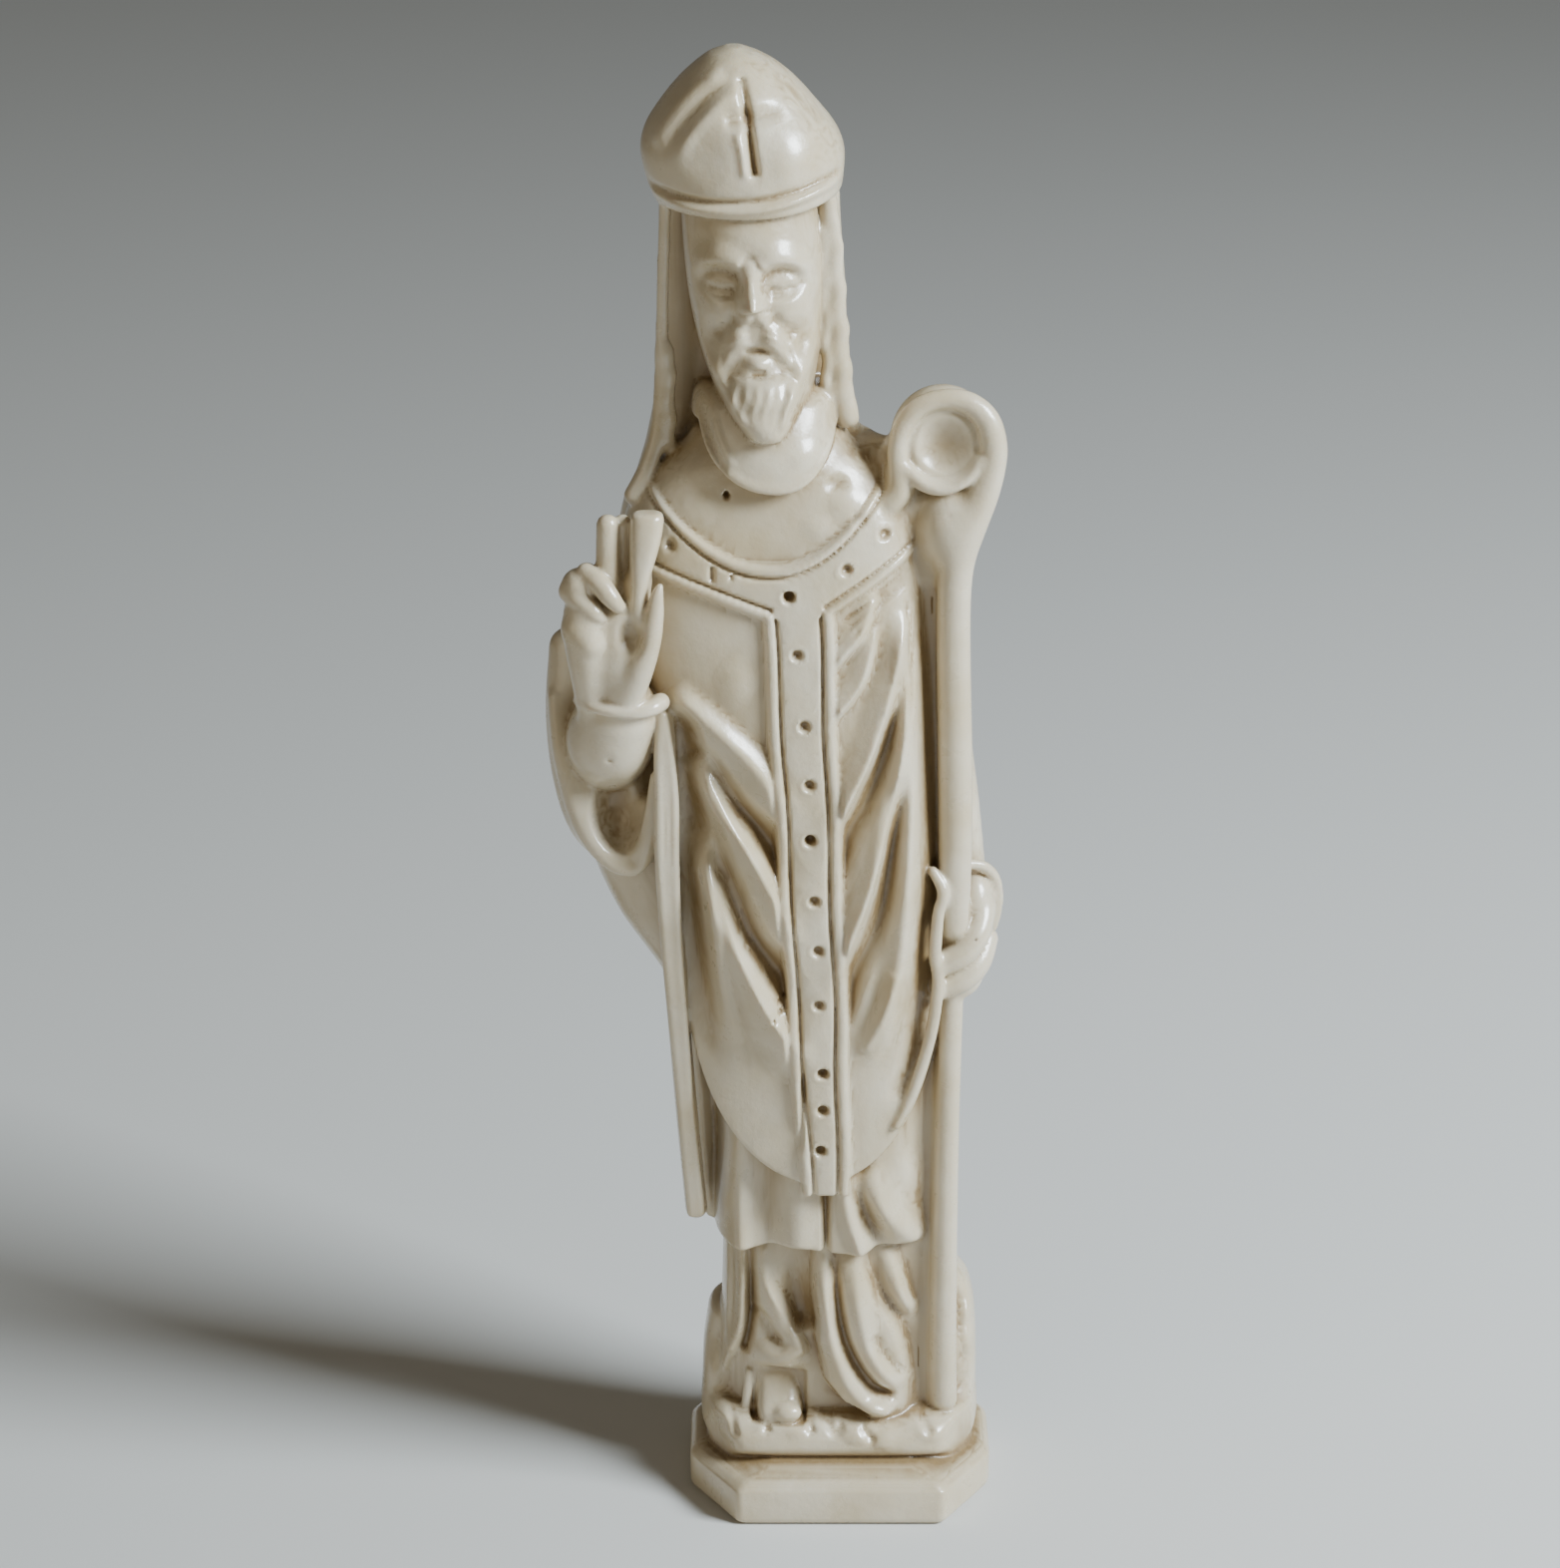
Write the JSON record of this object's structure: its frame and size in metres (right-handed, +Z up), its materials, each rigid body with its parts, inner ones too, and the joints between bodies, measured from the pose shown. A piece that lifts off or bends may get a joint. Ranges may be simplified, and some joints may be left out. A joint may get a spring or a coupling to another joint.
{
  "type": "saint statuette",
  "caption": "Small cast statuette of a standing bishop saint in mitre and chasuble, right hand raised in blessing, left hand on a crozier, on a stepped plinth.",
  "frame": {"origin": "middle of the plinth in plan, on its flat underside; the mantle reaches further to -X than the crozier does to +X, so this is not the middle of the bounding box", "axes": "+Z up, the saint faces -Y, the crozier is on the +X side"},
  "size_m": [0.0451, 0.0268, 0.1503],
  "materials": {
    "cast_ivory_resin": "cream imitation-ivory casting resin, satin gloss, slightly translucent, with brown toning in the hollows"
  },
  "bodies": {
    "root": {"statuette": "cast_ivory_resin"}
  },
  "joints": []
}
